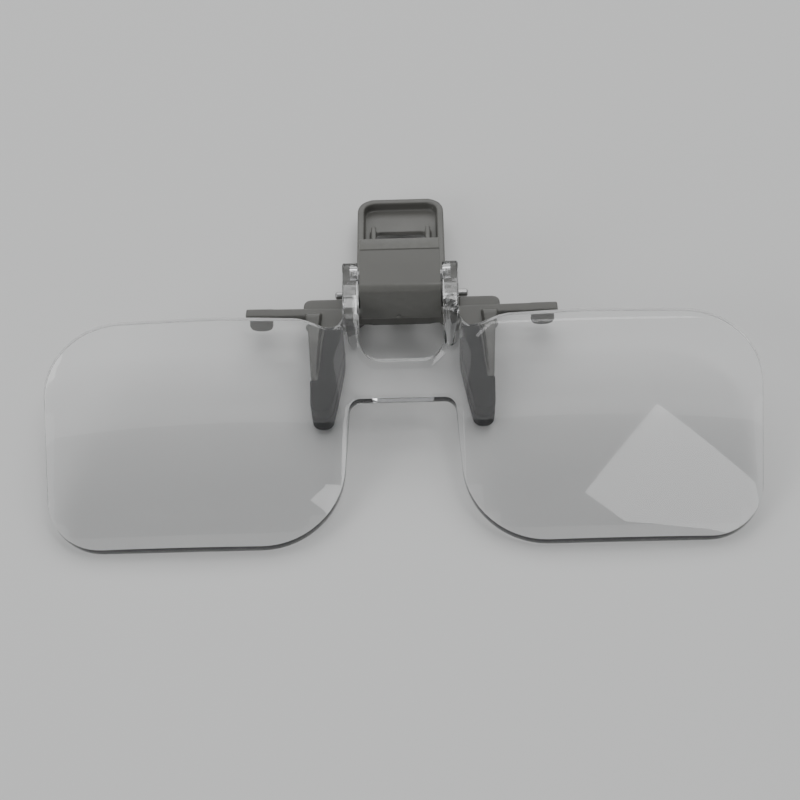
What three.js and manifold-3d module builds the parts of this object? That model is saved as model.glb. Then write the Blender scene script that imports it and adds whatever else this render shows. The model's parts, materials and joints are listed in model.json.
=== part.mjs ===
import * as THREE from 'three';
import { mergeVertices } from 'three/addons/utils/BufferGeometryUtils.js';
import Module from 'manifold-3d';

// Clip-on flip-up magnifier for spectacles, lying on its back on a table.
// The clip is drawn as it is worn: x to the side, y towards the face, z up. y = 0 is the front
// face of the front jaw and z = 0 the underside of its wings. Millimetres and degrees.

const wasm = await Module();
wasm.setup();

// ---- driving dimensions ----------------------------------------------------------------------

// twin lens
const lensWidth = 47.8;
const lensHeight = 37.3;
const noseGap = 16.2;           // between the lenses, at the bridge
const plateThick = 2.0;
const lensFrontRadius = 260;    // curvature of the magnifying face
const bridgeLow = 23.4;         // height of the bridge above the lens foot
const bridgeHigh = 30.0;
const windowCorner = 3.4;
const noseCorner = 12.6;        // corner radii of the lens outline
const cheekCorner = 8.5;
const browCorner = 11.5;
const browRadius = 60;
const valleyRadius = 6;
const earRootRadius = 2.4;
const bridgeCorner = 1.8;
const lensTaper = 1.6;          // each lens narrows by this much at its nose side, foot to bridge
const outerTaper = 2.6;         // and at its outer side
const valleyWidth = 6.7;        // dip in the top edge beside each ear
const valleyDepth = 2.8;
const browDrop = 0.3;           // the top edge falls this much towards its ends
const browProud = 0.7;          // and its outer end stands out this much before it is rounded
const browShift = 3;            // its highest point is this far in from the lens's centre
const windowTaper = 0.1;
const pivotRise = 44.9;         // from the lens foot to the pivot
const pivotBehindFace = 1.65;   // from the plate's front face to the pivot
const earThick = 2.5;
const earFront = 2.8;           // how far the ear stands before the pivot
const earTop = 1.9;
const earBack = 2.5;
const earRound = 1.9;
const earCorner = 1;
const ribFoot = 15.8;           // how far below the pivot the ear's rib runs out
const ribCorner = 4.4;          // where the rib starts to run out
const ribStep = 2;              // its back starts this much lower than its front
const ribRound = 3;
const lensRestAngle = 13.6;     // the lens foot leans back from upright by this much

// hinge block
const blockWidth = 12.7;
const blockDepth = 7.75;
const blockLow = -3.0;
const blockHigh = 7.1;
const blockWall = 1.3;
const blockStandOff = 3.1;      // from the front jaw's face to the back of the block
const pivotInBlock = 3.975;     // behind the block's front face
const pivotAboveBlock = 5.6;    // above its underside
const lipHeight = 2.3;
const lipProud = 0.2;
const blockEdge = 1.0;

// pins
const pivotPinRadius = 1.0;
const pinGrip = 1.3;            // depth of the pin's blind hole in each ear
const axleRadius = 0.65;
const axleLength = 21.9;
const pinPlay = 0.25;

// front jaw and its wings
const wingSpan = 50.5;
const wingThick = 1.7;
const wingDepth = 2.4;
const wingRise = 1.4;           // degrees that each wing rises outwards
const tabWidth = 4.2;
const tabReach = 5.4;
const tabRound = 1.75;
const gussetWidth = 2.5;        // at the wing
const gussetTip = 0.8;
const gussetLean = 0.75;        // how far in from the prong's edge its foot is
const gussetProud = 2.0;
const gussetFoot = -12.3;
const gussetRound = 0.8;
const lugThick = 1.4;
const lugRadius = 4.2;
const lugFoot = 0.4;            // height in the wing where a lug's arm starts
const lugLap = 1;               // how far the arm's sides run into the round lug

// prongs and their rubber sleeves
const prongGap = 18.3;          // between the left and right prongs, at the top
const prongSpread = 30.8;       // over both prongs, at the top
const prongThick = 0.9;
const prongTaper = 2.3;         // how far a prong's inner edge has moved out at its foot
const fingerCorner = 1.5;       // corner radius of a sleeve's foot
const fingerBend = -8;          // height where the inner edge bends outwards
const fingerBendRadius = 6;
const fingerBendOut = 0.1;
const footDraw = 0.9;           // how far in the outer edge has moved at its foot
const notchDraw = 0.7;          // and at the notch
const notchRound = 2;
const mouthDraw = 0.2;          // and at a sleeve's mouth
const prongFoot = -18.9;        // foot of a front sleeve
const rearExtra = 0.4;          // the rear sleeves are this much longer
const sleeveWall = 0.45;
const sleeveFit = 0.2;
const sleeveTop = -2.8;
const sleeveNotch = -12.8;      // where a front sleeve clears the gusset's foot

// rear lever
const axleBack = 3.5;
const axleUp = 7.3;
const leverWidth = 14.7;
const leverLength = 22.4;       // from the axle to the thumb edge
const leverLean = 9;
const leverFace = -1.95;        // the rim's front edge, from the axle, before leaning
const trayDepth = 1.6;
const trayFloor = 0.9;
const trayRim = 1.2;
const trayCorner = 3.0;
const slotWidth = 8.3;
const slotTop = 15.4;           // above the axle
const trayRibWidth = 0.9;
const trayRibSunk = 0.15;       // the rib ends this far behind the rim
const trayRibTop = 15.4;
const cheekThick = 1.4;
const cheekRadius = 3.6;
const cheekLap = 1;             // how far the shoulder runs up into a cheek
const shoulderSpan = 32.2;
const shoulderTop = 6.0;
const shoulderThick = 1.6;
const shoulderLow = -1.0;
const shoulderCorner = 1.2;
const plateCorner = 0.6;

// spring
const wireRadius = 0.35;
const coilRadius = 2.35;
const coilTurns = 4;
const coilPitch = 0.95;
const armRise = 8.4;            // of the spring's arm above the axle
const armBend = 1.0;
const armDown = 6.1;            // length of the arm over the neck

// clearances
const jawClearance = 0.2;       // between the closed sleeves
const sideClearance = 0.3;      // between parts that turn beside each other
const restClearance = 0.35;     // between the spring's arms and what they press on
const arcStep = Math.PI / 12;
const overcut = 1;              // a cut runs this far past the face that it opens
const faceRoom = 3;             // depth in front of the plate for the swelling face

// ---- sizes that follow ------------------------------------------------------------------------

const blockHalf = blockWidth / 2;
const blockBack = -blockStandOff;
const blockFront = blockBack - blockDepth;
const pivotY = blockFront + pivotInBlock;
const pivotZ = blockLow + pivotAboveBlock;
const earInner = blockHalf + sideClearance;
const earOuter = earInner + earThick;
const plateFront = -pivotBehindFace;
const plateBack = plateFront + plateThick;
const lensFoot = -pivotRise;
const lensInner = noseGap / 2;
const lensOuter = lensInner + lensWidth;
const lensTop = lensFoot + lensHeight;
const lensCentreX = (lensInner + lensOuter) / 2;
const lensCentreZ = (lensFoot + lensTop) / 2;
const sleeveThick = prongThick + 2 * (sleeveWall + sleeveFit);
const frontProngY = sleeveThick / 2;
const rearProngY = frontProngY + sleeveThick + jawClearance;
const prongInner = prongGap / 2;
const prongOuter = prongSpread / 2;
const cheekOuter = leverWidth / 2;
const cheekInner = cheekOuter - cheekThick;
const lugInner = cheekOuter + sideClearance;
const lugOuter = lugInner + lugThick;
const coilHalf = coilTurns * coilPitch / 2;
const tongueHalf = blockHalf - blockWall - sideClearance;
const neckHalf = Math.min(tongueHalf, cheekInner - sideClearance);
const neckTop = axleUp - coilRadius - wireRadius - restClearance;

// ---- materials --------------------------------------------------------------------------------

const materials = {
  clear: { color: 0xe9eef2, roughness: 0.05, metalness: 0, transparent: true, opacity: 0.35 },
  grey: { color: 0xa8a79f, roughness: 0.5, metalness: 0 },
  rubber: { color: 0x232324, roughness: 0.75, metalness: 0 },
  steel: { color: 0xb9babb, roughness: 0.3, metalness: 1 },
};

// ---- solids -----------------------------------------------------------------------------------

function toSolid(geometry) {
  geometry.deleteAttribute('normal');
  geometry.deleteAttribute('uv');
  const merged = mergeVertices(geometry, 1e-5);
  const vertProperties = new Float32Array(merged.attributes.position.array);
  const triVerts = new Uint32Array(merged.index.array);
  return new wasm.Manifold(new wasm.Mesh({ numProp: 3, vertProperties, triVerts }));
}

function addPart(group, name, solid, material) {
  const mesh = solid.getMesh();
  const geometry = new THREE.BufferGeometry();
  geometry.setAttribute('position', new THREE.BufferAttribute(mesh.vertProperties, 3));
  geometry.setIndex(new THREE.BufferAttribute(mesh.triVerts, 1));
  geometry.computeVertexNormals();
  const part = new THREE.Mesh(geometry, new THREE.MeshStandardMaterial(materials[material]));
  part.name = name;
  group.add(part);
}

// An outline from corner points [a, b, radius], each corner rounded by its radius.
function outline(corners) {
  const count = corners.length;
  const at = (i) => new THREE.Vector2(corners[(i + count) % count][0], corners[(i + count) % count][1]);
  const points = [];
  corners.forEach(([, , radius = 0], i) => {
    const here = at(i);
    if (radius === 0) {
      points.push(here);
      return;
    }
    const back = at(i - 1).sub(here).normalize();
    const ahead = at(i + 1).sub(here).normalize();
    const half = Math.acos(back.dot(ahead)) / 2;
    const centre = back.clone().add(ahead).setLength(radius / Math.sin(half)).add(here);
    const reach = radius / Math.tan(half);
    const from = back.clone().multiplyScalar(reach).add(here).sub(centre).angle();
    const to = ahead.clone().multiplyScalar(reach).add(here).sub(centre).angle();
    const turn = THREE.MathUtils.euclideanModulo(to - from + Math.PI, 2 * Math.PI) - Math.PI;
    const steps = Math.max(2, Math.ceil(Math.abs(turn) / arcStep));
    for (let step = 0; step <= steps; step += 1) {
      const angle = from + turn * step / steps;
      points.push(new THREE.Vector2(Math.cos(angle), Math.sin(angle)).multiplyScalar(radius).add(centre));
    }
  });
  return new THREE.Shape(points);
}

function extrude(shape, depth) {
  return new THREE.ExtrudeGeometry(shape, { depth, bevelEnabled: false });
}

// Outline in x, z; thickness from y0 to y1.
function frontPlate(corners, y0, y1) {
  return toSolid(extrude(outline(corners), y1 - y0).rotateX(Math.PI / 2).translate(0, y1, 0));
}

// Outline in y, z; thickness from x0 to x1.
function sidePlate(corners, x0, x1) {
  const turn = new THREE.Matrix4().set(0, 0, 1, x0, 1, 0, 0, 0, 0, 1, 0, 0, 0, 0, 0, 1);
  return toSolid(extrude(outline(corners), x1 - x0).applyMatrix4(turn));
}

function box(x0, x1, y0, y1, z0, z1) {
  const geometry = new THREE.BoxGeometry(x1 - x0, y1 - y0, z1 - z0);
  return toSolid(geometry.translate((x0 + x1) / 2, (y0 + y1) / 2, (z0 + z1) / 2));
}

// Round bar along x.
function bar(radius, x0, x1, y, z) {
  const geometry = new THREE.CylinderGeometry(radius, radius, x1 - x0, 24);
  return toSolid(geometry.rotateZ(Math.PI / 2).translate((x0 + x1) / 2, y, z));
}

function mirrored(corners) {
  return corners.map(([x, z, radius]) => [-x, z, radius]).reverse();
}

// The same cross-section between x0 and x1 on both sides.
function bothSides(make, x0, x1) {
  return make(x0, x1).add(make(-x1, -x0));
}

// ---- twin lens, drawn about its pivot ---------------------------------------------------------

// Right half of the moulding: half the bridge, the lens and the ear's root.
function lensHalfOutline() {
  const bridgeUnder = lensFoot + bridgeLow;
  const bridgeOver = lensFoot + bridgeHigh;
  const rootTop = -earTop;
  return [
    [0, bridgeUnder],
    [lensInner, bridgeUnder, bridgeCorner],
    [lensInner + lensTaper, lensFoot, noseCorner],
    [lensOuter - outerTaper, lensFoot, cheekCorner],
    [lensOuter + browProud, lensTop - browDrop, browCorner],
    [lensCentreX - browShift, lensTop + browDrop, browRadius],
    [earOuter + valleyWidth, lensTop, valleyRadius],
    [earOuter, lensTop - valleyDepth, earRootRadius],
    [earOuter, rootTop],
    [earInner, rootTop],
    [earInner - windowTaper, bridgeOver, windowCorner],
    [0, bridgeOver],
  ];
}

// Plano-convex disc, its flat face at the back.
function lensDisc(x) {
  const rim = Math.hypot(lensWidth, lensHeight) / 2 + overcut;
  const sagAtBridge = (lensWidth / 2) ** 2 / (2 * lensFrontRadius);
  const apex = plateFront - sagAtBridge;
  const rings = 6;
  const profile = [new THREE.Vector2(0, plateBack), new THREE.Vector2(rim, plateBack)];
  for (let ring = rings; ring >= 0; ring -= 1) {
    const r = rim * ring / rings;
    profile.push(new THREE.Vector2(r, apex + r * r / (2 * lensFrontRadius)));
  }
  const disc = new THREE.LatheGeometry(profile.reverse(), 40);
  return toSolid(disc.translate(x, 0, lensCentreZ));
}

function ear(x0, x1) {
  const profile = [
    [-earFront, earTop, earRound],
    [-earFront, -ribCorner, earCorner],
    [plateFront, -ribFoot],
    [plateBack, -ribFoot],
    [plateBack, -ribCorner - ribStep, ribRound],
    [earBack, -earTop / 2, earCorner],
    [earBack, earTop, earRound],
  ];
  return sidePlate(profile, x0, x1);
}

function twinLens() {
  const half = lensHalfOutline();
  const deep = plateFront - faceRoom;
  const prism = frontPlate(half, deep, plateBack).add(frontPlate(mirrored(half), deep, plateBack));
  const slab = box(-earOuter, earOuter, plateFront, plateBack, lensFoot, 0);
  const faces = slab.add(lensDisc(lensCentreX)).add(lensDisc(-lensCentreX));
  const hole = bar(pivotPinRadius + pinPlay, -earInner - pinGrip, earInner + pinGrip, 0, 0);
  return prism.intersect(faces).add(bothSides(ear, earInner, earOuter)).subtract(hole);
}

// ---- hinge block ------------------------------------------------------------------------------

function hingeBlock() {
  const lipFoot = blockHigh - lipHeight;
  const section = [
    [blockBack, blockLow],
    [blockBack, blockHigh],
    [blockFront - lipProud, blockHigh, blockEdge / 2],
    [blockFront - lipProud, lipFoot + lipProud],
    [blockFront, lipFoot],
    [blockFront, blockLow, blockEdge],
  ];
  const inner = blockHalf - blockWall;
  const cavity = box(-inner, inner, blockFront + blockWall, blockBack + overcut,
    blockLow + blockWall, blockHigh - blockWall);
  const hole = bar(pivotPinRadius + pinPlay, -blockWidth, blockWidth, pivotY, pivotZ);
  return sidePlate(section, -blockHalf, blockHalf).subtract(cavity).subtract(hole);
}

// ---- prongs and sleeves -----------------------------------------------------------------------

// Outline of a prong with its sleeve on, drawn for the right side and grown by `grow`.
function fingerOutline(top, foot, outerTop, grow) {
  return [
    [prongInner - grow, top],
    [prongInner + fingerBendOut - grow, fingerBend, fingerBendRadius],
    [prongInner + prongTaper - grow, foot - grow, fingerCorner + grow],
    [prongOuter - footDraw + grow, foot - grow, fingerCorner + grow],
    [prongOuter - notchDraw + grow, sleeveNotch, notchRound],
    [outerTop + grow, top],
  ];
}

function sleeve(side, y, foot, notched) {
  const inset = sleeveWall + sleeveFit;
  const face = y - sleeveThick / 2;
  const place = (corners) => (side > 0 ? corners : mirrored(corners));
  const skin = place(fingerOutline(sleeveTop, foot, prongOuter - mouthDraw, 0));
  const bore = place(fingerOutline(sleeveTop + overcut, foot, prongOuter - mouthDraw, -sleeveWall));
  const cut = frontPlate(bore, face + sleeveWall, face + sleeveThick - sleeveWall);
  let solid = frontPlate(skin, face, face + sleeveThick).subtract(cut);
  if (notched) {
    const top = sleeveTop + overcut;
    const notch = place([
      [prongOuter - gussetWidth - sideClearance, top],
      [prongOuter - gussetLean - gussetTip - sideClearance, sleeveNotch],
      [prongOuter + 2 * overcut, sleeveNotch], [prongOuter + 2 * overcut, top],
    ]);
    solid = solid.subtract(frontPlate(notch, face - inset, face + sleeveThick + inset));
  }
  return solid;
}

function prong(side, y, foot, top) {
  const inset = sleeveWall + sleeveFit;
  const corners = fingerOutline(top, foot, prongOuter, -inset);
  return frontPlate(side > 0 ? corners : mirrored(corners), y - prongThick / 2, y + prongThick / 2);
}

// ---- front jaw --------------------------------------------------------------------------------

// Half of the wings seen from above, with the rounded rest tab at its end.
function wing(side) {
  const end = wingSpan / 2;
  const plan = [
    [0, 0],
    [end, 0],
    [end, tabReach, tabRound],
    [end - tabWidth, tabReach, tabRound],
    [end - tabWidth, wingDepth, plateCorner],
    [0, wingDepth],
  ];
  const shape = outline(side > 0 ? plan : mirrored(plan));
  const solid = extrude(shape, wingThick).rotateY(-side * THREE.MathUtils.degToRad(wingRise));
  return toSolid(solid);
}

// Wedge between the wing and the prong, narrowing and leaning inwards as it goes down.
function gusset(side) {
  const root = wingThick / 2;
  const section = [
    [wingDepth / 2, root],
    [-jawClearance, root],
    [-gussetProud, -wingThick / 2, gussetRound],
    [frontProngY - prongThick / 2, gussetFoot],
    [frontProngY, gussetFoot],
  ];
  const foot = prongOuter - gussetLean;
  const front = [
    [prongOuter, root], [prongOuter - gussetWidth, root],
    [foot - gussetTip, gussetFoot], [foot, gussetFoot],
  ];
  const wedge = frontPlate(side > 0 ? front : mirrored(front), -gussetProud, wingDepth);
  return wedge.intersect(sidePlate(section, -prongOuter, prongOuter));
}

function lug(x0, x1) {
  const arm = [
    [0, lugFoot],
    [wingDepth, lugFoot],
    [wingDepth, axleUp - lugRadius + lugLap],
    [axleBack, axleUp],
    [axleBack - lugRadius * 0.9, axleUp],
  ];
  return bar(lugRadius, x0, x1, axleBack, axleUp).add(sidePlate(arm, x0, x1));
}

function frontJaw() {
  const tongueFront = blockFront + blockWall + sideClearance;
  const tongueLow = blockLow + blockWall + sideClearance;
  const rootFoot = sleeveTop + sideClearance;
  const root = [
    [prongInner, wingThick / 2], [prongInner, rootFoot, plateCorner],
    [prongOuter, rootFoot, plateCorner], [prongOuter, wingThick / 2],
  ];
  let solid = wing(1).add(wing(-1));
  for (const side of [1, -1]) {
    solid = solid.add(frontPlate(side > 0 ? root : mirrored(root), 0, 2 * frontProngY - jawClearance))
      .add(gusset(side)).add(prong(side, frontProngY, prongFoot, wingThick / 2));
  }
  const tongue = box(-tongueHalf, tongueHalf, tongueFront, blockBack, tongueLow,
    blockHigh - blockWall - sideClearance);
  const neck = box(-neckHalf, neckHalf, tongueFront, wingDepth, 0, neckTop);
  const pinHole = bar(pivotPinRadius + pinPlay, -blockWidth, blockWidth, pivotY, pivotZ);
  const axleHole = bar(axleRadius + pinPlay, -axleLength, axleLength, axleBack, axleUp);
  return solid.add(neck).add(tongue).add(bothSides(lug, lugInner, lugOuter))
    .subtract(pinHole).subtract(axleHole);
}

// ---- rear lever -------------------------------------------------------------------------------

// Thumb tray and the strips down to the cheeks, drawn upright about the axle and leant back.
function tray() {
  const half = leverWidth / 2;
  const floor = leverFace + trayDepth;
  const plan = [[-half, 0], [half, 0], [half, leverLength, trayCorner], [-half, leverLength, trayCorner]];
  const inside = half - trayRim;
  const top = leverLength - trayRim;
  const corner = trayCorner - trayRim;
  const recess = [[-inside, -overcut], [inside, -overcut], [inside, top, corner], [-inside, top, corner]];
  const slot = slotWidth / 2;
  const opening = [
    [-slot, -overcut], [slot, -overcut], [slot, slotTop, plateCorner], [-slot, slotTop, plateCorner],
  ];
  let solid = frontPlate(plan, leverFace, floor + trayFloor)
    .subtract(frontPlate(recess, leverFace - overcut, floor))
    .subtract(frontPlate(opening, leverFace - overcut, floor + trayFloor + overcut));
  const rib = (x0, x1) => box(x0, x1, leverFace + trayRibSunk, floor + trayFloor, coilRadius, trayRibTop);
  solid = solid.add(bothSides(rib, slot, slot + trayRibWidth));
  return solid.rotate([-leverLean, 0, 0]).translate([0, axleBack, axleUp]);
}

// The shoulder between a cheek and a prong, with a notch for the lug.
function shoulderPlate() {
  const span = shoulderSpan / 2;
  const notch = lugOuter + sideClearance;
  const notchTop = axleUp - lugRadius - sideClearance;
  const cheekFoot = axleUp - cheekRadius + cheekLap;
  const half = [
    [cheekInner, wingThick, plateCorner], [prongInner, shoulderLow, shoulderCorner],
    [prongInner, sleeveTop + sideClearance], [prongOuter, sleeveTop + sideClearance],
    [prongOuter, shoulderLow, plateCorner], [span, 0, plateCorner],
    [span, shoulderTop, shoulderCorner], [notch, shoulderTop], [notch, notchTop],
    [cheekOuter, notchTop], [cheekOuter, cheekFoot], [cheekInner, cheekFoot],
  ];
  const y0 = rearProngY - shoulderThick / 2;
  const y1 = rearProngY + shoulderThick / 2;
  return frontPlate(half, y0, y1).add(frontPlate(mirrored(half), y0, y1));
}

function rearLever() {
  const cheek = (x0, x1) => bar(cheekRadius, x0, x1, axleBack, axleUp);
  const foot = prongFoot - rearExtra;
  const hole = bar(axleRadius + pinPlay, -axleLength, axleLength, axleBack, axleUp);
  return tray().add(bothSides(cheek, cheekInner, cheekOuter)).add(shoulderPlate())
    .add(prong(1, rearProngY, foot, 0)).add(prong(-1, rearProngY, foot, 0)).subtract(hole);
}

// ---- spring, pins -----------------------------------------------------------------------------

// The turns round the axle, from the arm on the lever's rib to the arm over the neck.
class Coil extends THREE.Curve {
  constructor(first, last) {
    super();
    this.first = first;
    this.last = last;
  }

  getPoint(t) {
    const angle = this.first + (this.last - this.first) * t;
    const x = coilHalf * (2 * t - 1);
    return new THREE.Vector3(x, coilRadius * Math.cos(angle), coilRadius * Math.sin(angle));
  }
}

function clipSpring() {
  const lean = THREE.MathUtils.degToRad(leverLean);
  const ribFace = leverFace + trayRibSunk - restClearance - wireRadius;
  const corner = new THREE.Vector2(ribFace * Math.cos(lean) + armRise * Math.sin(lean),
    armRise * Math.cos(lean) - ribFace * Math.sin(lean));
  const first = corner.angle() - Math.acos(coilRadius / corner.length());
  const coil = new Coil(first, -Math.PI / 2 - 2 * Math.PI * coilTurns);
  const start = coil.getPoint(0);
  const end = coil.getPoint(1);
  const bend = new THREE.Vector3(start.x, corner.x, corner.y);
  const tip = new THREE.Vector3(-slotWidth / 2 - trayRibWidth, corner.x, corner.y);
  const before = bend.clone().lerp(tip, armBend / bend.distanceTo(tip));
  const after = bend.clone().lerp(start, armBend / bend.distanceTo(start));
  const foot = end.clone().setY(end.y - armDown);
  const path = new THREE.CurvePath();
  path.add(new THREE.LineCurve3(tip, before));
  path.add(new THREE.QuadraticBezierCurve3(before, bend, after));
  path.add(new THREE.LineCurve3(after, start));
  path.add(coil);
  path.add(new THREE.LineCurve3(end, foot));
  const section = new THREE.Shape().absarc(0, 0, wireRadius, 0, 2 * Math.PI);
  const wire = new THREE.ExtrudeGeometry(section, {
    steps: 110, curveSegments: 4, extrudePath: path, bevelEnabled: false,
  });
  return toSolid(wire.translate(0, axleBack, axleUp));
}

function roundedPin(radius, length, y, z) {
  const half = length / 2;
  const dome = radius * 0.7;
  const profile = [[0, -half], [radius * 0.6, -half + dome * 0.2], [radius, -half + dome],
    [radius, half - dome], [radius * 0.6, half - dome * 0.2], [0, half]];
  const pin = new THREE.LatheGeometry(profile.map(([r, a]) => new THREE.Vector2(r, a)), 20);
  return toSolid(pin.rotateZ(Math.PI / 2).translate(0, y, z));
}

// ---- assembly ---------------------------------------------------------------------------------

function worn() {
  const group = new THREE.Group();
  const pivotPinLength = 2 * (earInner + pinGrip - sideClearance);
  const pivotPin = roundedPin(pivotPinRadius, pivotPinLength, pivotY, pivotZ);
  addPart(group, 'hinge_block', hingeBlock(), 'grey');
  addPart(group, 'front_jaw', frontJaw(), 'grey');
  addPart(group, 'rear_lever', rearLever(), 'grey');
  addPart(group, 'clip_axle', roundedPin(axleRadius, axleLength, axleBack, axleUp), 'steel');
  addPart(group, 'clip_spring', clipSpring(), 'steel');
  addPart(group, 'lens_pivot_pin', pivotPin, 'steel');
  for (const [side, word] of [[1, 'right'], [-1, 'left']]) {
    addPart(group, `front_sleeve_${word}`, sleeve(side, frontProngY, prongFoot, true), 'rubber');
    addPart(group, `rear_sleeve_${word}`, sleeve(side, rearProngY, prongFoot - rearExtra, false), 'rubber');
  }
  const lens = new THREE.Group();
  addPart(lens, 'twin_lens', twinLens(), 'clear');
  lens.position.set(0, pivotY, pivotZ);
  lens.rotation.x = THREE.MathUtils.degToRad(lensRestAngle);
  group.add(lens);
  return group;
}

// Lying on its back, the object rests on the lens's foot and on the lugs' round backs.
function lyingTilt() {
  const lean = THREE.MathUtils.degToRad(lensRestAngle);
  const footY = pivotY + plateBack * Math.cos(lean) - lensFoot * Math.sin(lean);
  const footZ = pivotZ + plateBack * Math.sin(lean) + lensFoot * Math.cos(lean);
  const away = new THREE.Vector2(axleUp - footZ, axleBack - footY);
  return away.angle() + Math.asin(lugRadius / away.length());
}

const magnifier = new THREE.Group();
const clip = worn();
clip.rotation.x = lyingTilt() - Math.PI / 2;
magnifier.add(clip);
magnifier.updateMatrixWorld(true);
const bounds = new THREE.Box3().setFromObject(magnifier, true);
const middle = bounds.getCenter(new THREE.Vector3());
clip.position.set(-middle.x, -middle.y, -bounds.min.z);
magnifier.updateMatrixWorld(true);

export default magnifier;
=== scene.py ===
import json
import math

import bmesh
import bpy
from mathutils import Matrix, Vector


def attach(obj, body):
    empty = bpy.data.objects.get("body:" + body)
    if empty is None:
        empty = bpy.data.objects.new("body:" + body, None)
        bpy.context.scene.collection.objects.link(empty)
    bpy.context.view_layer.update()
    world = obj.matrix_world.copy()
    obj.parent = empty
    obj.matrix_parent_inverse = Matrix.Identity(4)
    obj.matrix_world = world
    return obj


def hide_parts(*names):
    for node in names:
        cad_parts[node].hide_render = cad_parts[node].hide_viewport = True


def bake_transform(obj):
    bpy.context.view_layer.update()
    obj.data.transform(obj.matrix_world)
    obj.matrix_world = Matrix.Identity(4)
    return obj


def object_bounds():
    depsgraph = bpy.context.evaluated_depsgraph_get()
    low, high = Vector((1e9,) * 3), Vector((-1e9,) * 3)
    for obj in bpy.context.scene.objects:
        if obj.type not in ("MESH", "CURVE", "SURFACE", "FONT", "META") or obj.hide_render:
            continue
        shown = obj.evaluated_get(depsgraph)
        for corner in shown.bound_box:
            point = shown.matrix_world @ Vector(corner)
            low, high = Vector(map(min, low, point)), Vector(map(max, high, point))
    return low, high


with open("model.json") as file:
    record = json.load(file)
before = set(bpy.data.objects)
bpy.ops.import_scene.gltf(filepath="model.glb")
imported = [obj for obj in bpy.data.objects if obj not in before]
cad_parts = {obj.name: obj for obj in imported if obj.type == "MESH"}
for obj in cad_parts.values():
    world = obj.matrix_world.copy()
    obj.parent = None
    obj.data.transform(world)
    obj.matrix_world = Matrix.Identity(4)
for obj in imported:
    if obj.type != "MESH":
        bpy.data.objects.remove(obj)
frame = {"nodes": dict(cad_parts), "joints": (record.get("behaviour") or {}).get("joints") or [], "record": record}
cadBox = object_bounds()
print("frame loaded")

mm = 0.001
joints = {joint["name"]: joint for joint in frame["joints"]}
bodyOf = {node: body for body, nodes in frame["record"]["behaviour"]["bodies"].items() for node in nodes}

# The clip is modelled as it is worn: x to the side, y towards the face, z up, in millimetres.
clip = {
    "axle": (3.5, 7.3),         # y, z of the clip axle
    "pivot": (-6.875, 2.6),     # y, z of the lens pivot
    "lensLean": 13.6,           # degrees that the lens foot leans back from upright
}


def wornTurn():
    axle = joints["clip_squeeze"]["pos_m"]
    pivot = joints["lens_flip"]["pos_m"]
    lying = math.atan2(pivot[2] - axle[2], pivot[1] - axle[1])
    worn = math.atan2(clip["pivot"][1] - clip["axle"][1], clip["pivot"][0] - clip["axle"][0])
    return lying - worn


axlePoint = Vector(joints["clip_squeeze"]["pos_m"])
pivotPoint = Vector(joints["lens_flip"]["pos_m"])
unit = Matrix.Scale(mm, 4)
fromWorn = (Matrix.Translation(axlePoint) @ Matrix.Rotation(wornTurn(), 4, "X") @ unit
            @ Matrix.Translation((0, -clip["axle"][0], -clip["axle"][1])))
fromLens = (Matrix.Translation(pivotPoint)
            @ Matrix.Rotation(wornTurn() + math.radians(clip["lensLean"]), 4, "X") @ unit)


view = {
    "elevation": 50,
    "azimuth": 1.3,
    "distance": 280,    # from the point looked at
    "focal": 84,
    "roll": 2.45,
    "target": (-0.3, 17.6, 14.3),   # x, then y and z from the lens feet's front edge
}


def makeCamera():
    low = cadBox[0]
    x, y, z = view["target"]
    target = Vector((x * mm, low.y + y * mm, low.z + z * mm))
    tilt = math.radians(view["elevation"])
    around = Matrix.Rotation(math.radians(view["azimuth"]), 4, "Z")
    back = around @ Vector((0, -math.cos(tilt), math.sin(tilt)))
    data = bpy.data.cameras.new("camera")
    data.lens = view["focal"]
    data.sensor_width = 36
    data.clip_start = 0.01
    camera = bpy.data.objects.new("camera", data)
    bpy.context.scene.collection.objects.link(camera)
    turn = around @ Matrix.Rotation(math.radians(90 - view["elevation"]), 4, "X")
    roll = Matrix.Rotation(math.radians(-view["roll"]), 4, "Z")
    camera.matrix_world = Matrix.Translation(target + back * view["distance"] * mm) @ turn @ roll
    bpy.context.scene.camera = camera


studio = {
    "sky": (0.86, 0.88, 0.9),
    "skyStrength": 0.36,
    "floor": (0.8, 0.8, 0.79),
    # name: place, width and length in metres, watts, degrees turned if it faces straight down
    "softbox": ((0.0, 0.29, 0.957), (1.6, 0.5), 2.9, None),
    "fill": ((-0.75, -0.6, 0.45), (0.5, 0.5), 2.5, None),
    "window": ((0.563, -0.259, 2.0), (0.8, 0.42), 5.0, -39),
    "back": ((0.0, 1.2, 1.0), (1.6, 0.8), 7.0, None),
}


def makeLight(name):
    place, size, watts, turned = studio[name]
    data = bpy.data.lights.new(name, "AREA")
    data.shape = "RECTANGLE"
    data.size, data.size_y = size
    data.energy = watts
    light = bpy.data.objects.new(name, data)
    bpy.context.scene.collection.objects.link(light)
    light.location = place
    if turned is None:
        light.rotation_euler = (-Vector(place)).to_track_quat("-Z", "Y").to_euler()
    else:
        light.rotation_euler = (0, 0, math.radians(turned))


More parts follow.
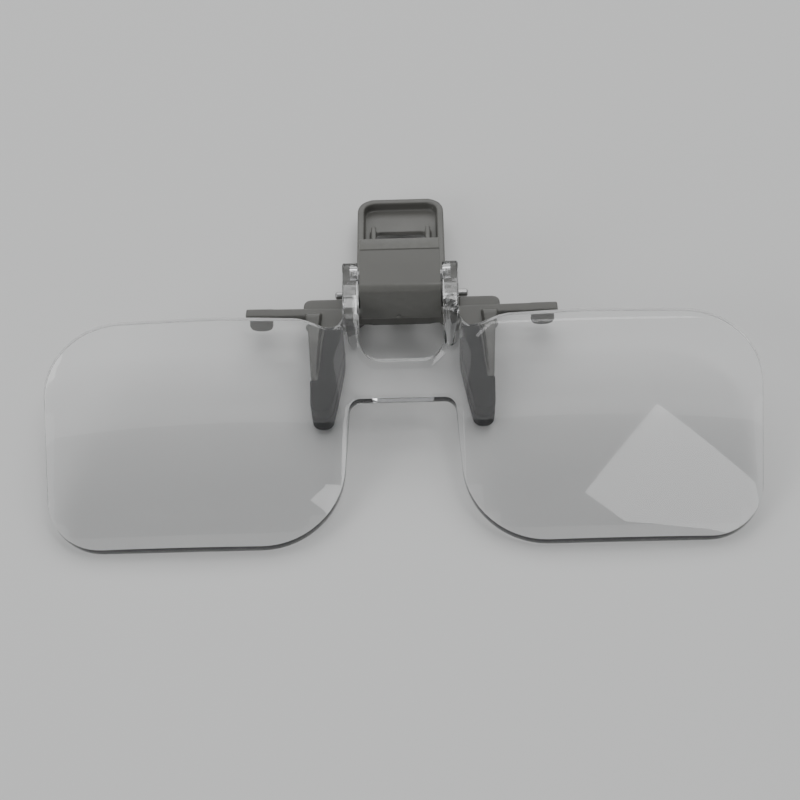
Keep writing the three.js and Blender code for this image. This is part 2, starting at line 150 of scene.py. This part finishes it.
def makeStudio():
    world = bpy.data.worlds.new("studio")
    bpy.context.scene.world = world
    world.use_nodes = True
    sky = world.node_tree.nodes["Background"]
    sky.inputs["Color"].default_value = (*studio["sky"], 1)
    sky.inputs["Strength"].default_value = studio["skyStrength"]
    for name in ("softbox", "fill", "window", "back"):
        makeLight(name)
    print("lights ready")
    bm = bmesh.new()
    bmesh.ops.create_grid(bm, x_segments=1, y_segments=1, size=3)
    mesh = bpy.data.meshes.new("floor")
    bm.to_mesh(mesh)
    bm.free()
    floor = bpy.data.objects.new("floor", mesh)
    bpy.context.scene.collection.objects.link(floor)
    paper = bpy.data.materials.new("paleFloor")
    paper.use_nodes = True
    shader = paper.node_tree.nodes["Principled BSDF"]
    shader.inputs["Base Color"].default_value = (*studio["floor"], 1)
    shader.inputs["Roughness"].default_value = 0.6
    mesh.materials.append(paper)


def newGroup(name, inputs, outputs):
    group = bpy.data.node_groups.new(name, "ShaderNodeTree")
    for label, kind, value in inputs:
        socket = group.interface.new_socket(label, in_out="INPUT", socket_type=kind)
        socket.default_value = value
    for label, kind in outputs:
        group.interface.new_socket(label, in_out="OUTPUT", socket_type=kind)
    return group, group.nodes.new("NodeGroupInput"), group.nodes.new("NodeGroupOutput")


def addNode(tree, kind, links=None, **values):
    node = tree.nodes.new(kind)
    for key, value in values.items():
        setattr(node, key, value)
    for socket, source in (links or {}).items():
        if isinstance(source, bpy.types.NodeSocket):
            tree.links.new(source, node.inputs[socket])
        else:
            node.inputs[socket].default_value = source
    return node


def makeMouldGrain():
    group, given, out = newGroup(
        "mouldGrain",
        [("Size", "NodeSocketFloat", 5000.0), ("Cloud", "NodeSocketFloat", 260.0)],
        [("Height", "NodeSocketFloat"), ("Mottle", "NodeSocketFloat")],
    )
    place = addNode(group, "ShaderNodeTexCoord").outputs["Object"]
    grain = addNode(group, "ShaderNodeTexNoise", {"Vector": place, "Scale": given.outputs["Size"],
                                                  "Detail": 2.0, "Roughness": 0.6})
    cloud = addNode(group, "ShaderNodeTexNoise", {"Vector": place, "Scale": given.outputs["Cloud"],
                                                  "Detail": 4.0, "Roughness": 0.55})
    group.links.new(grain.outputs["Fac"], out.inputs["Height"])
    group.links.new(cloud.outputs["Fac"], out.inputs["Mottle"])
    return group


def makeHandling():
    # rubbed edges and dust in the corners, both from how sharply the surface turns
    group, given, out = newGroup(
        "handling",
        [("Edge", "NodeSocketFloat", 0.56), ("Corner", "NodeSocketFloat", 0.44),
         ("Break", "NodeSocketFloat", 900.0)],
        [("Rubbed", "NodeSocketFloat"), ("Dust", "NodeSocketFloat")],
    )
    place = addNode(group, "ShaderNodeTexCoord").outputs["Object"]
    turn = addNode(group, "ShaderNodeNewGeometry").outputs["Pointiness"]
    patch = addNode(group, "ShaderNodeTexNoise", {"Vector": place, "Scale": given.outputs["Break"],
                                                  "Detail": 3.0})
    edge = addNode(group, "ShaderNodeMapRange", {"Value": turn, "From Min": 0.52,
                                                 "From Max": given.outputs["Edge"]})
    corner = addNode(group, "ShaderNodeMapRange", {"Value": turn, "From Min": 0.48,
                                                   "From Max": given.outputs["Corner"]})
    rubbed = addNode(group, "ShaderNodeMath", {0: edge.outputs["Result"], 1: patch.outputs["Fac"]},
                     operation="MULTIPLY")
    dust = addNode(group, "ShaderNodeMath", {0: corner.outputs["Result"], 1: patch.outputs["Fac"]},
                   operation="MULTIPLY")
    group.links.new(rubbed.outputs[0], out.inputs["Rubbed"])
    group.links.new(dust.outputs[0], out.inputs["Dust"])
    return group


mouldGrain = makeMouldGrain()
handling = makeHandling()


def newMaterial(name):
    material = bpy.data.materials.new(name)
    material.use_nodes = True
    return material, material.node_tree, material.node_tree.nodes["Principled BSDF"]


def mixColour(tree, share, first, second):
    mix = addNode(tree, "ShaderNodeMix", data_type="RGBA")
    tree.links.new(share, mix.inputs["Factor"])
    for socket, colour in (("A", first), ("B", second)):
        slot = [s for s in mix.inputs if s.name == socket and s.type == "RGBA"][0]
        if isinstance(colour, bpy.types.NodeSocket):
            tree.links.new(colour, slot)
        else:
            slot.default_value = (*colour, 1)
    return [s for s in mix.outputs if s.type == "RGBA"][0]


greyLook = {
    "colour": (0.136, 0.135, 0.124),
    "mottled": (0.122, 0.121, 0.111),
    "rubbed": (0.22, 0.22, 0.2),
    "dust": (0.18, 0.176, 0.163),
    "roughness": (0.28, 0.42),
    "grainHeight": 0.005,   # millimetres
}


def makeGreyPlastic():
    material, tree, shader = newMaterial("greyPlastic")
    grain = addNode(tree, "ShaderNodeGroup", node_tree=mouldGrain)
    worn = addNode(tree, "ShaderNodeGroup", node_tree=handling)
    base = mixColour(tree, grain.outputs["Mottle"], greyLook["colour"], greyLook["mottled"])
    base = mixColour(tree, worn.outputs["Rubbed"], base, greyLook["rubbed"])
    base = mixColour(tree, worn.outputs["Dust"], base, greyLook["dust"])
    rough = addNode(tree, "ShaderNodeMapRange", {"Value": grain.outputs["Mottle"], "From Min": 0.3,
                                                 "From Max": 0.7, "To Min": greyLook["roughness"][0],
                                                 "To Max": greyLook["roughness"][1]})
    bump = addNode(tree, "ShaderNodeBump", {"Height": grain.outputs["Height"], "Strength": 0.35,
                                            "Distance": greyLook["grainHeight"] * mm})
    tree.links.new(base, shader.inputs["Base Color"])
    tree.links.new(rough.outputs["Result"], shader.inputs["Roughness"])
    tree.links.new(bump.outputs["Normal"], shader.inputs["Normal"])
    return material


rubberLook = {
    "colour": (0.011, 0.011, 0.0115),
    "dust": (0.035, 0.034, 0.032),
    "roughness": (0.58, 0.8),
    "shine": 0.3,
    "grainSize": 6500,
    "grainHeight": 0.006,
}


def makeRubber():
    material, tree, shader = newMaterial("darkRubber")
    grain = addNode(tree, "ShaderNodeGroup", {"Size": rubberLook["grainSize"]}, node_tree=mouldGrain)
    worn = addNode(tree, "ShaderNodeGroup", node_tree=handling)
    base = mixColour(tree, worn.outputs["Dust"], rubberLook["colour"], rubberLook["dust"])
    rough = addNode(tree, "ShaderNodeMapRange", {"Value": grain.outputs["Mottle"], "From Min": 0.3,
                                                 "From Max": 0.7, "To Min": rubberLook["roughness"][0],
                                                 "To Max": rubberLook["roughness"][1]})
    bump = addNode(tree, "ShaderNodeBump", {"Height": grain.outputs["Height"], "Strength": 0.4,
                                            "Distance": rubberLook["grainHeight"] * mm})
    shader.inputs["Specular IOR Level"].default_value = rubberLook["shine"]
    tree.links.new(base, shader.inputs["Base Color"])
    tree.links.new(rough.outputs["Result"], shader.inputs["Roughness"])
    tree.links.new(bump.outputs["Normal"], shader.inputs["Normal"])
    return material


clearLook = {
    "colour": (0.985, 0.986, 0.988),
    "ior": 1.49,
    "roughness": (0.0, 0.07),   # polished, and under a finger mark
    "smears": 45.0,
    "scratchHeight": 0.002,
}


def makeClearAcrylic():
    material, tree, shader = newMaterial("clearAcrylic")
    place = addNode(tree, "ShaderNodeTexCoord").outputs["Object"]
    smear = addNode(tree, "ShaderNodeTexNoise", {"Vector": place, "Scale": clearLook["smears"],
                                                 "Detail": 5.0, "Distortion": 0.6})
    rough = addNode(tree, "ShaderNodeMapRange", {"Value": smear.outputs["Fac"], "From Min": 0.52,
                                                 "From Max": 0.8, "To Min": clearLook["roughness"][0],
                                                 "To Max": clearLook["roughness"][1]})
    stretch = addNode(tree, "ShaderNodeMapping", {"Vector": place, "Scale": (60, 1500, 60),
                                                  "Rotation": (0, 0, 0.5)})
    scratch = addNode(tree, "ShaderNodeTexNoise", {"Vector": stretch.outputs["Vector"], "Scale": 1.0,
                                                   "Detail": 2.0})
    bump = addNode(tree, "ShaderNodeBump", {"Height": scratch.outputs["Fac"], "Strength": 0.05,
                                            "Distance": clearLook["scratchHeight"] * mm})
    shader.inputs["Base Color"].default_value = (*clearLook["colour"], 1)
    shader.inputs["IOR"].default_value = clearLook["ior"]
    shader.inputs["Transmission Weight"].default_value = 1
    tree.links.new(rough.outputs["Result"], shader.inputs["Roughness"])
    tree.links.new(bump.outputs["Normal"], shader.inputs["Normal"])
    return material


steelLook = {
    "colour": (0.56, 0.56, 0.555),
    "dull": (0.4, 0.4, 0.395),
    "roughness": (0.22, 0.4),
    "drawnLines": (300, 9000, 9000),    # stretched along x, as the wire was drawn
}


def makeSatinSteel():
    material, tree, shader = newMaterial("satinSteel")
    place = addNode(tree, "ShaderNodeTexCoord").outputs["Object"]
    stretch = addNode(tree, "ShaderNodeMapping", {"Vector": place, "Scale": steelLook["drawnLines"]})
    lines = addNode(tree, "ShaderNodeTexNoise", {"Vector": stretch.outputs["Vector"], "Scale": 1.0,
                                                 "Detail": 3.0})
    base = mixColour(tree, lines.outputs["Fac"], steelLook["colour"], steelLook["dull"])
    rough = addNode(tree, "ShaderNodeMapRange", {"Value": lines.outputs["Fac"], "From Min": 0.3,
                                                 "From Max": 0.7, "To Min": steelLook["roughness"][0],
                                                 "To Max": steelLook["roughness"][1]})
    shader.inputs["Metallic"].default_value = 1
    tree.links.new(base, shader.inputs["Base Color"])
    tree.links.new(rough.outputs["Result"], shader.inputs["Roughness"])
    return material


slots = {
    "clear_acrylic": makeClearAcrylic(),
    "grey_plastic": makeGreyPlastic(),
    "dark_rubber": makeRubber(),
    "satin_steel": makeSatinSteel(),
}


def objectFrom(bm, name):
    mesh = bpy.data.meshes.new(name)
    bm.to_mesh(mesh)
    bm.free()
    thing = bpy.data.objects.new(name, mesh)
    bpy.context.scene.collection.objects.link(thing)
    return thing


def applyModifiers(thing):
    bpy.context.view_layer.update()
    graph = bpy.context.evaluated_depsgraph_get()
    mesh = bpy.data.meshes.new_from_object(thing.evaluated_get(graph))
    thing.modifiers.clear()
    thing.data = mesh
    return thing


def combine(thing, other, operation):
    change = thing.modifiers.new(operation.lower(), "BOOLEAN")
    change.operation = operation
    change.solver = "EXACT"
    change.object = other
    applyModifiers(thing)
    bpy.data.objects.remove(other)
    return thing


def putInPlace(thing, node, slot, place=None, smoothAngle=35, bend=None):
    if place:
        thing.data.transform(place)
    thing.data.materials.clear()
    thing.data.materials.append(slots[slot])
    thing.data.shade_smooth()
    if smoothAngle:
        thing.data.set_sharp_from_angle(angle=math.radians(smoothAngle))
    if bend:
        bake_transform(thing)
    else:
        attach(thing, bodyOf[node])
    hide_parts(node)
    print("made", thing.name)
    return thing


# Outline in the x, z plane from (x, z, corner radius), pulled out to y0..y1.
def plateFrom(corners, y0, y1, segments=10):
    bm = bmesh.new()
    points = [bm.verts.new((x, y0, z)) for x, z, radius in corners]
    face = bm.faces.new(points)
    face.normal_update()
    if face.normal.y > 0:
        face.normal_flip()
    for point, (x, z, radius) in zip(points, corners):
        if radius:
            edges = [(e.other_vert(point).co - point.co).normalized() for e in point.link_edges]
            half = edges[0].angle(edges[1]) / 2
            bmesh.ops.bevel(bm, geom=[point], offset=radius / math.tan(half), offset_type="OFFSET",
                            affect="VERTICES", segments=segments, profile=0.5, material=-1)
    grown = bmesh.ops.extrude_face_region(bm, geom=bm.faces[:])
    moved = [v for v in grown["geom"] if isinstance(v, bmesh.types.BMVert)]
    bmesh.ops.translate(bm, verts=moved, vec=(0, y1 - y0, 0))
    bmesh.ops.recalc_face_normals(bm, faces=bm.faces)
    return bm


def mirroredCorners(corners):
    return corners + [(-x, z, radius) for x, z, radius in reversed(corners)]


def sharpEdges(bm, angle=50):
    return [e for e in bm.edges if e.is_manifold and e.calc_face_angle(0) > math.radians(angle)]


def roundEdges(bm, edges, radius, segments=3):
    bmesh.ops.bevel(bm, geom=edges, offset=radius, offset_type="OFFSET", affect="EDGES",
                    segments=segments, profile=0.5, material=-1, clamp_overlap=True)


def roundBar(radius, length, dome, segments=40):
    bm = bmesh.new()
    bmesh.ops.create_cone(bm, cap_ends=True, segments=segments, radius1=radius, radius2=radius,
                          depth=length)
    if dome:
        roundEdges(bm, [e for e in bm.edges if e.calc_face_angle(0) > math.radians(60)], dome, 6)
    bmesh.ops.rotate(bm, verts=bm.verts, cent=(0, 0, 0), matrix=Matrix.Rotation(math.pi / 2, 3, "Y"))
    return bm


# sizes about the pivot, in millimetres
lens = {
    "foot": -44.9,
    "front": -1.65,
    "thick": 2.0,
    "height": 37.3,
    "inner": 8.1,
    "width": 47.8,
    "bridge": (23.4, 30.0),
    "curve": 260,
    "ear": (6.65, 9.15),
    "earFront": 2.8,    # before the pivot
    "earTop": 1.9,
    "earBack": 2.5,
    "earRound": 1.9,
    "windowCorner": 3.4,
    "windowTaper": 0.1,
    "earRoot": (2.6, 2.4),      # how far the plate runs up into the ear, and the root's corner
    "valley": (6.7, 2.8, 6),    # width, depth and corner of the dip beside each ear
    "brow": (3, 0.3, 60),       # how far in from the lens's middle, its rise, and its radius
    "outerTop": (0.65, 11.5),   # how far each outer corner stands out, and its radius
    "outerFoot": (2.6, 8.5),    # how far it is drawn in, and its radius
    "innerFoot": (1.6, 12.6),
    "bridgeCorner": 1.8,
    "flatEdge": (0.8, 3.5),     # the face stays flat this far past the ear, then swells over this
    "ribCorner": -4.4,
    "ribRound": 1.3,
    "ribInset": 0.4,            # the rib's foot is this much thinner than the plate on each side
    "ribBack": (0.05, 2.4, 2.2),    # where the rib's back meets the plate: in, down, corner
    "earCorner": 1,
    "earEdge": 0.3,
    "ribTaper": -8.5,   # where the rib starts to narrow
    "ribFoot": -15.8,
    "ribFootWidth": 0.8,
    "rimRadius": 0.28,
    "grid": 2.4,
    "pinBore": 1.12,
    "boreDepth": 1.3,   # blind hole in each ear
}


def lensCorners():
    foot, top = lens["foot"], lens["foot"] + lens["height"]
    low, high = foot + lens["bridge"][0], foot + lens["bridge"][1]
    inner, outer = lens["inner"], lens["inner"] + lens["width"]
    earIn, earOut = lens["ear"]
    middle = (inner + outer) / 2
    rootRise, rootCorner = lens["earRoot"]
    valleyWidth, valleyDepth, valleyCorner = lens["valley"]
    browShift, browRise, browRadius = lens["brow"]
    proud, topCorner = lens["outerTop"]
    outerDraw, outerCorner = lens["outerFoot"]
    innerDraw, innerCorner = lens["innerFoot"]
    right = [
        (earIn - lens["windowTaper"], high, lens["windowCorner"]),
        (earIn, top + rootRise, 0),
        (earOut, top + rootRise, 0),
        (earOut, top - valleyDepth, rootCorner),
        (earOut + valleyWidth, top, valleyCorner),
        (middle - browShift, top + browRise, browRadius),
        (outer + proud, top - browRise, topCorner),
        (outer - outerDraw, foot, outerCorner),
        (inner + innerDraw, foot, innerCorner),
        (inner, low, lens["bridgeCorner"]),
    ]
    return mirroredCorners(right)


def lensFace(x, z):
    # the front face swells over each lens and is flat between the ears
    foot, height = lens["foot"], lens["height"]
    middle = lens["inner"] + lens["width"] / 2
    away = (abs(x) - middle) ** 2 + (z - foot - height / 2) ** 2
    swell = ((lens["width"] / 2) ** 2 - away) / (2 * lens["curve"])
    flat, fade = lens["flatEdge"]
    share = min(max((abs(x) - lens["ear"][0] - flat) / fade, 0), 1)
    return lens["front"] - swell * share * share * (3 - 2 * share)


def makeLensPlate():
    back = lens["front"] + lens["thick"]
    bm = plateFrom(lensCorners(), lens["front"], back, segments=14)
    outer = lens["inner"] + lens["width"]
    cuts = int(outer / lens["grid"])
    for side in range(-cuts, cuts + 1):
        bmesh.ops.bisect_plane(bm, geom=bm.verts[:] + bm.edges[:] + bm.faces[:], dist=1e-5,
                               plane_co=(side * lens["grid"], 0, 0), plane_no=(1, 0, 0))
    for row in range(1, int(lens["height"] / lens["grid"]) + 1):
        bmesh.ops.bisect_plane(bm, geom=bm.verts[:] + bm.edges[:] + bm.faces[:], dist=1e-5,
                               plane_co=(0, 0, lens["foot"] + row * lens["grid"]), plane_no=(0, 0, 1))
    for vert in bm.verts:
        if vert.co.y < lens["front"] + 1e-4:
            vert.co.y = lensFace(vert.co.x, vert.co.z)
    roundEdges(bm, sharpEdges(bm, 60), lens["rimRadius"])
    return objectFrom(bm, "twin_lens_clear")


def makeEar(side):
    earIn, earOut = lens["ear"]
    front, top, behind, rounding = (lens[key] for key in ("earFront", "earTop", "earBack", "earRound"))
    back = lens["front"] + lens["thick"]
    inset = lens["ribInset"]
    backIn, backDown, backCorner = lens["ribBack"]
    profile = [
        (-front, top, rounding),
        (-front, lens["ribCorner"], lens["ribRound"]),
        (lens["front"] + inset, lens["ribFoot"], 0),
        (back - inset, lens["ribFoot"], 0),
        (back - backIn, lens["ribCorner"] - backDown, backCorner),
        (behind, -top / 2, lens["earCorner"]),
        (behind, top, rounding),
    ]
    bm = plateFrom(profile, earIn, earOut, segments=12)
    bmesh.ops.bisect_plane(bm, geom=bm.verts[:] + bm.edges[:] + bm.faces[:], dist=1e-5,
                           plane_co=(0, 0, lens["ribTaper"]), plane_no=(0, 0, 1))
    for vert in bm.verts:
        if vert.co.z < lens["ribFoot"] + 0.1 and vert.co.y > earIn + 0.1:
            vert.co.y = earIn + lens["ribFootWidth"]
    roundEdges(bm, sharpEdges(bm, 60), lens["earEdge"])
    # the profile was drawn in x, z and pulled out along y: turn it to lie in y, z
    swap = Matrix(((0, side, 0), (1, 0, 0), (0, 0, 1)))
    bmesh.ops.transform(bm, matrix=swap.to_4x4(), verts=bm.verts)
    bmesh.ops.recalc_face_normals(bm, faces=bm.faces)
    return objectFrom(bm, "ear")


def makeTwinLens():
    plate = makeLensPlate()
    for side in (1, -1):
        combine(plate, makeEar(side), "UNION")
    bore = objectFrom(roundBar(lens["pinBore"], 2 * (lens["ear"][0] + lens["boreDepth"]), 0), "bore")
    combine(plate, bore, "DIFFERENCE")
    putInPlace(plate, "twin_lens", "clear_acrylic", fromLens)


block = {
    "half": 6.35,
    "y": (-10.85, -3.1),
    "z": (-3.0, 7.1),
    "uprightEdge": 0.7,
    "lowEdge": 1.1,
    "rearEdge": 0.25,
    "lip": 2.3,
    "lipProud": 0.17,
    "lipEdge": 0.22,
    "wall": 1.3,
    "hollowEdge": 0.4,
    "borePlay": 0.1,            # the block's bore is this much wider than the ears'
    "nub": (-0.35, 0.42, 0.2),  # x, radius and height of the gate mark
    "nubFromBack": 0.6,
}


def boxFrom(low, high):
    bm = bmesh.new()
    bmesh.ops.create_cube(bm, size=1)
    size = [b - a for a, b in zip(low, high)]
    bmesh.ops.scale(bm, vec=size, verts=bm.verts)
    bmesh.ops.translate(bm, vec=[(a + b) / 2 for a, b in zip(low, high)], verts=bm.verts)
    return bm


def edgesAt(bm, axis, place):
    return [e for e in bm.edges if all(abs(v.co[axis] - place) < 0.01 for v in e.verts)]


def makeHingeBlock():
    half, low, high = block["half"], block["z"][0], block["z"][1]
    front, back = block["y"]
    bm = boxFrom((-half, front, low), (half, back, high))
    lowFront = [e for e in edgesAt(bm, 2, low) if e in edgesAt(bm, 1, front)]
    roundEdges(bm, lowFront, block["lowEdge"], 6)
    lowRear = [e for e in edgesAt(bm, 2, low) if e in edgesAt(bm, 1, back)]
    roundEdges(bm, lowRear, block["rearEdge"])
    # the sides' edges, over the front face, round its foot and along the underside
    sides = [e for e in edgesAt(bm, 0, half) + edgesAt(bm, 0, -half)
             if all(v.co.y < back - 0.01 for v in e.verts) or all(v.co.z < low + 0.01 for v in e.verts)]
    roundEdges(bm, [e for e in sides if not all(v.co.z > high - 0.01 for v in e.verts)],
               block["uprightEdge"], 4)
    thing = objectFrom(bm, "hinge_block_grey")
    lip = boxFrom((-half, front - block["lipProud"], high - block["lip"]), (half, back, high))
    roundEdges(lip, [e for e in lip.edges if not all(v.co.y > back - 0.01 for v in e.verts)],
               block["lipEdge"])
    combine(thing, objectFrom(lip, "lip"), "UNION")
    wall = block["wall"]
    hollow = boxFrom((-half + wall, front + wall, low + wall), (half - wall, back + 1, high - wall))
    roundEdges(hollow, hollow.edges[:], block["hollowEdge"], 2)
    combine(thing, objectFrom(hollow, "hollow"), "DIFFERENCE")
    bore = roundBar(lens["pinBore"] + block["borePlay"], 2 * half + 2, 0)
    bmesh.ops.translate(bore, vec=(0, *clip["pivot"]), verts=bore.verts)
    combine(thing, objectFrom(bore, "bore"), "DIFFERENCE")
    x, radius, height = block["nub"]
    nub = bmesh.new()
    bmesh.ops.create_cone(nub, cap_ends=True, segments=20, radius1=radius * 0.8, radius2=radius,
                          depth=2 * height)
    bmesh.ops.translate(nub, vec=(x, back - block["nubFromBack"], low), verts=nub.verts)
    combine(thing, objectFrom(nub, "nub"), "UNION")
    putInPlace(thing, "hinge_block", "grey_plastic", fromWorn)


# these keep the frame's shape, with their edges rounded
moulded = {
    # node: name, slot, voxel in millimetres, smoothing rounds
    "front_jaw": ("front_jaw_grey", "grey_plastic", 0.13, 7),
    "rear_lever": ("rear_lever_grey", "grey_plastic", 0.13, 12),
    "front_sleeve_left": ("front_sleeve_left_rubber", "dark_rubber", 0.11, 8),
    "front_sleeve_right": ("front_sleeve_right_rubber", "dark_rubber", 0.11, 8),
    "rear_sleeve_left": ("rear_sleeve_left_rubber", "dark_rubber", 0.11, 8),
    "rear_sleeve_right": ("rear_sleeve_right_rubber", "dark_rubber", 0.11, 8),
}


def makeMoulded(node):
    name, slot, voxel, rounds = moulded[node]
    bm = bmesh.new()
    bm.from_mesh(frame["nodes"][node].data)
    bmesh.ops.remove_doubles(bm, verts=bm.verts, dist=0.001 * mm)
    bmesh.ops.transform(bm, matrix=fromWorn.inverted(), verts=bm.verts)
    thing = objectFrom(bm, name)
    remesh = thing.modifiers.new("remesh", "REMESH")
    remesh.mode = "VOXEL"
    remesh.voxel_size = voxel
    applyModifiers(thing)
    bm = bmesh.new()
    bm.from_mesh(thing.data)
    for turn in range(rounds):
        bmesh.ops.smooth_vert(bm, verts=bm.verts, factor=0.5, use_axis_x=True, use_axis_y=True,
                              use_axis_z=True)
    bm.to_mesh(thing.data)
    bm.free()
    putInPlace(thing, node, slot, fromWorn, smoothAngle=None)


pins = {
    # node: name, radius, length, centre y, centre z
    "clip_axle": ("clip_axle_steel", 0.65, 21.9, *clip["axle"]),
    "lens_pivot_pin": ("lens_pivot_pin_steel", 1.0, 15.3, *clip["pivot"]),
}


def makePin(node):
    name, radius, length, y, z = pins[node]
    bm = roundBar(radius, length, radius * 0.6)
    bmesh.ops.translate(bm, vec=(0, y, z), verts=bm.verts)
    putInPlace(objectFrom(bm, name), node, "satin_steel", fromWorn)


spring = {
    "wire": 0.35,
    "coil": 2.35,
    "turns": 4,
    "pitch": 0.95,
    "leaves": 23.1,     # degrees past the back of the coil, where the arm leaves it
    "armUp": 8.4,       # length of the arm that rises behind the hinge block
    "armAcross": 3.15,  # its bent end, which lies on the lever's rib
    "bend": 0.9,
    "armDown": 6.1,     # length of the arm over the neck
    "gives": (2.8, 5.5),    # heights over the axle where the arm would bend as the lever turns; their points are worked out, but nothing here bends the spring
}


def pullWire(bm, end, way):
    cap = [f for f in bm.faces if set(f.verts) == set(end)]
    grown = bmesh.ops.extrude_face_region(bm, geom=cap)
    end = [v for v in grown["geom"] if isinstance(v, bmesh.types.BMVert)]
    bmesh.ops.translate(bm, verts=end, vec=way)
    return end


def windWire(bm, end, centre, axis, angle, steps, slide=(0, 0, 0)):
    cap = [f for f in bm.faces if set(f.verts) == set(end)]
    wound = bmesh.ops.spin(bm, geom=cap, cent=centre, axis=axis, angle=angle, dvec=slide, steps=steps,
                           use_merge=False)
    return [v for v in wound["geom_last"] if isinstance(v, bmesh.types.BMVert)]


def makeSpring():
    coil, turns, bend = spring["coil"], spring["turns"], spring["bend"]
    half = turns * spring["pitch"] / 2
    bm = bmesh.new()
    # wound from the end over the neck, round the axle and up to the bent end
    made = bmesh.ops.create_circle(bm, segments=14, radius=spring["wire"], cap_ends=True)
    bmesh.ops.rotate(bm, verts=bm.verts, cent=(0, 0, 0), matrix=Matrix.Rotation(math.pi / 2, 3, "X"))
    bmesh.ops.translate(bm, verts=bm.verts, vec=(half, -spring["armDown"], -coil))
    end = pullWire(bm, made["verts"], (0, spring["armDown"], 0))
    turn = math.radians(90 + spring["leaves"])
    steps = 34 * turns
    end = windWire(bm, end, (0, 0, 0), (1, 0, 0), 2 * math.pi * turns + turn, steps,
                   (-2 * half / steps, 0, 0))
    up = Vector((0, math.cos(turn), math.sin(turn)))
    across = Vector((-1, 0, 0))
    end = pullWire(bm, end, up * (spring["armUp"] - bend))
    centre = sum((v.co for v in end), Vector()) / len(end) + across * bend
    end = windWire(bm, end, centre, up.cross(across), math.pi / 2, 8)
    pullWire(bm, end, across * (spring["armAcross"] - bend))
    bmesh.ops.recalc_face_normals(bm, faces=bm.faces)
    bmesh.ops.translate(bm, vec=(0, *clip["axle"]), verts=bm.verts)
    y, z = clip["axle"]
    bend = [fromWorn @ Vector((0, y, z + rise)) for rise in spring["gives"]]
    putInPlace(objectFrom(bm, "clip_spring_steel"), "clip_spring", "satin_steel", fromWorn, 50, bend)


makeCamera()
makeStudio()
makeTwinLens()
makeHingeBlock()
for nodeName in moulded:
    makeMoulded(nodeName)
for nodeName in pins:
    makePin(nodeName)
makeSpring()
